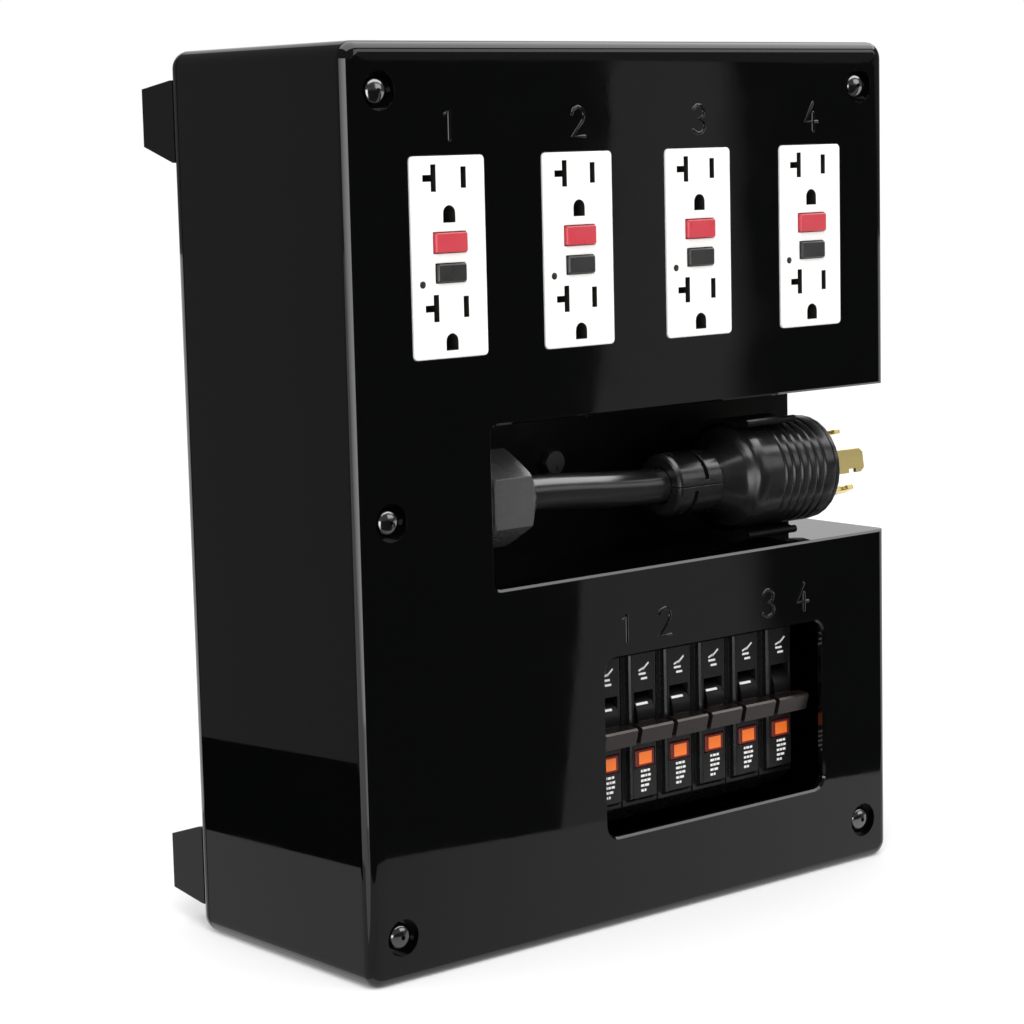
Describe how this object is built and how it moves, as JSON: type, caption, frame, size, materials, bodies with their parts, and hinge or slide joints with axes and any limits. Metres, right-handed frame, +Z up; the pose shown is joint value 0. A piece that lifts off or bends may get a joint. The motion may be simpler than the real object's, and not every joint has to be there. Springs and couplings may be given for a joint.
{
  "type": "portable power distribution box",
  "caption": "Upright portable power box with GFCI receptacles, windowed circuit breakers and a recess that stows its locking supply plug.",
  "frame": {"origin": "middle of the enclosure's flat underside, halfway between its sides and between its front face and the back of its rear cover", "axes": "+Z up, +X to the right seen from the front, -Y out of the front face"},
  "size_m": [0.2545, 0.1224, 0.312],
  "materials": {
    "gloss_black": "gloss moulded black",
    "screw_steel": "bright plated",
    "receptacle_white": "satin white",
    "plated_steel": "zinc plated",
    "reset_red": "satin red",
    "test_black": "satin black",
    "breaker_black": "moulded phenolic",
    "handle_black": "satin",
    "indicator_orange": "translucent orange lens",
    "nylon_black": "moulded nylon",
    "plug_nylon": "satin moulded nylon",
    "cable_rubber": "smooth jacket",
    "blade_brass": "bright",
    "terminal_brass": "drawn bar",
    "bus_copper": "bare copper bar"
  },
  "bodies": {
    "root": {"enclosure_cover": "gloss_black", "rear_cover": "gloss_black", "cover_screw_1": "screw_steel", "cover_screw_2": "screw_steel", "cover_screw_3": "screw_steel", "cover_screw_4": "screw_steel", "cover_screw_5": "screw_steel", "receptacle_body_1": "receptacle_white", "receptacle_strap_1": "plated_steel", "receptacle_body_2": "receptacle_white", "receptacle_strap_2": "plated_steel", "receptacle_body_3": "receptacle_white", "receptacle_strap_3": "plated_steel", "receptacle_body_4": "receptacle_white", "receptacle_strap_4": "plated_steel", "breaker_body_1": "breaker_black", "trip_indicator_1": "indicator_orange", "breaker_body_2": "breaker_black", "trip_indicator_2": "indicator_orange", "breaker_body_3": "breaker_black", "trip_indicator_3": "indicator_orange", "breaker_body_4": "breaker_black", "trip_indicator_4": "indicator_orange", "breaker_body_5": "breaker_black", "trip_indicator_5": "indicator_orange", "breaker_body_6": "breaker_black", "trip_indicator_6": "indicator_orange", "breaker_base": "nylon_black", "bus_bar_1": "bus_copper", "bus_bar_2": "bus_copper", "neutral_bar": "terminal_brass", "ground_bar": "terminal_brass", "gland_body": "nylon_black", "gland_nut": "nylon_black", "gland_locknut": "nylon_black", "supply_cable": "cable_rubber", "cable_clamp_upper": "plug_nylon", "cable_clamp_lower": "plug_nylon", "plug_shell": "plug_nylon", "plug_face": "plug_nylon", "plug_blade_1": "blade_brass", "plug_blade_2": "blade_brass", "plug_blade_3": "blade_brass", "plug_blade_4": "blade_brass", "plug_clip": "nylon_black", "recess_bolt": "screw_steel"},
    "reset_1": {"reset_button_1": "reset_red"},
    "test_1": {"test_button_1": "test_black"},
    "reset_2": {"reset_button_2": "reset_red"},
    "test_2": {"test_button_2": "test_black"},
    "reset_3": {"reset_button_3": "reset_red"},
    "test_3": {"test_button_3": "test_black"},
    "reset_4": {"reset_button_4": "reset_red"},
    "test_4": {"test_button_4": "test_black"},
    "handle_1": {"breaker_handle_1": "handle_black"},
    "handle_2": {"breaker_handle_2": "handle_black"},
    "handle_3": {"breaker_handle_3": "handle_black"},
    "handle_4": {"breaker_handle_4": "handle_black"},
    "handle_5": {"breaker_handle_5": "handle_black"},
    "handle_6": {"breaker_handle_6": "handle_black"}
  },
  "joints": [
    {"name": "reset_press_1", "type": "slide", "parent": "root", "child": "reset_1", "axis": [0, 1, 0], "range_m": [0, 0.0018], "stiffness_N_per_m": 300},
    {"name": "test_press_1", "type": "slide", "parent": "root", "child": "test_1", "axis": [0, 1, 0], "range_m": [0, 0.0018], "stiffness_N_per_m": 300},
    {"name": "reset_press_2", "type": "slide", "parent": "root", "child": "reset_2", "axis": [0, 1, 0], "range_m": [0, 0.0018], "stiffness_N_per_m": 300},
    {"name": "test_press_2", "type": "slide", "parent": "root", "child": "test_2", "axis": [0, 1, 0], "range_m": [0, 0.0018], "stiffness_N_per_m": 300},
    {"name": "reset_press_3", "type": "slide", "parent": "root", "child": "reset_3", "axis": [0, 1, 0], "range_m": [0, 0.0018], "stiffness_N_per_m": 300},
    {"name": "test_press_3", "type": "slide", "parent": "root", "child": "test_3", "axis": [0, 1, 0], "range_m": [0, 0.0018], "stiffness_N_per_m": 300},
    {"name": "reset_press_4", "type": "slide", "parent": "root", "child": "reset_4", "axis": [0, 1, 0], "range_m": [0, 0.0018], "stiffness_N_per_m": 300},
    {"name": "test_press_4", "type": "slide", "parent": "root", "child": "test_4", "axis": [0, 1, 0], "range_m": [0, 0.0018], "stiffness_N_per_m": 300},
    {"name": "handle_swing_1", "type": "hinge", "parent": "root", "child": "handle_1", "pos_m": [-0.008, -0.032, 0.071], "axis": [-1, 0, 0], "range_deg": [0, 42]},
    {"name": "handle_swing_2", "type": "hinge", "parent": "root", "child": "handle_2", "pos_m": [0.0095, -0.032, 0.071], "axis": [-1, 0, 0], "range_deg": [0, 42]},
    {"name": "handle_swing_3", "type": "hinge", "parent": "root", "child": "handle_3", "pos_m": [0.027, -0.032, 0.071], "axis": [-1, 0, 0], "range_deg": [0, 42]},
    {"name": "handle_swing_4", "type": "hinge", "parent": "root", "child": "handle_4", "pos_m": [0.0445, -0.032, 0.071], "axis": [-1, 0, 0], "range_deg": [0, 42]},
    {"name": "handle_swing_5", "type": "hinge", "parent": "root", "child": "handle_5", "pos_m": [0.062, -0.032, 0.071], "axis": [-1, 0, 0], "range_deg": [0, 42]},
    {"name": "handle_swing_6", "type": "hinge", "parent": "root", "child": "handle_6", "pos_m": [0.0795, -0.032, 0.071], "axis": [-1, 0, 0], "range_deg": [0, 42]}
  ]
}
